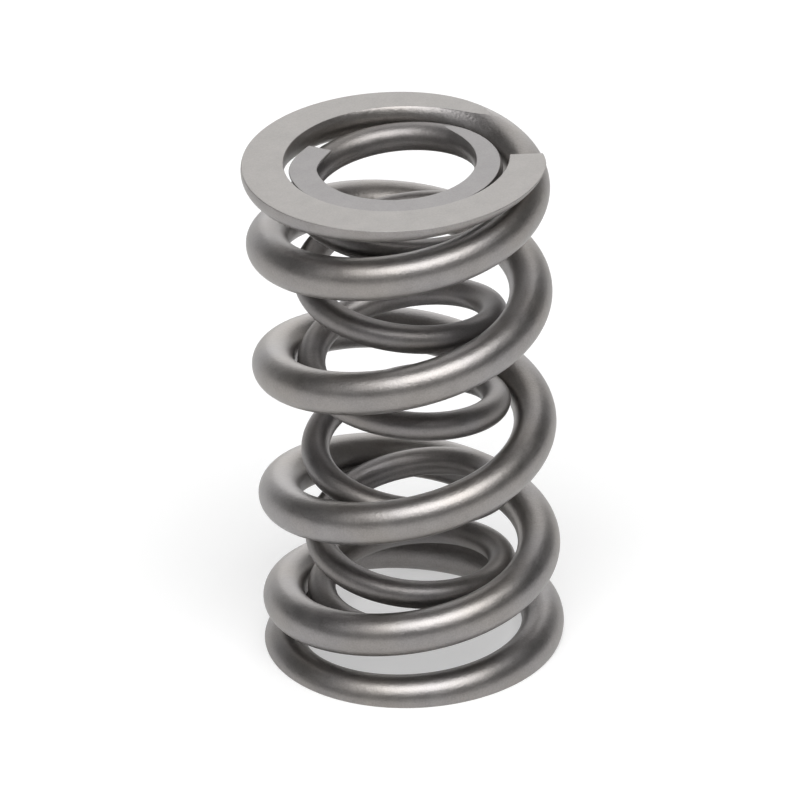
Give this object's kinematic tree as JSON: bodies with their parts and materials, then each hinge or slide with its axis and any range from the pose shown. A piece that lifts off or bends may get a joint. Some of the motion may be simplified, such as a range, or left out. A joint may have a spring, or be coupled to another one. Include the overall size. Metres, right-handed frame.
{
  "type": "engine valve spring",
  "caption": "Nested valve spring pair: a right-hand outer coil and a left-hand inner coil of round steel wire, closed ends ground flat.",
  "frame": {"origin": "centre of the outer coil's lower ground face, on the coils' common axis", "axes": "+Z along the coils' axis, up towards the retainer; +X towards the outer coil's upper tip"},
  "size_m": [0.0334, 0.0335, 0.0591],
  "materials": {
    "outer_wire": "shot-peened spring steel, satin grey, with finely ground end faces",
    "inner_wire": "shot-peened spring steel, satin dark grey, with finely ground end faces"
  },
  "bodies": {
    "root": {"outer_spring": "outer_wire", "inner_spring": "inner_wire"}
  },
  "joints": []
}
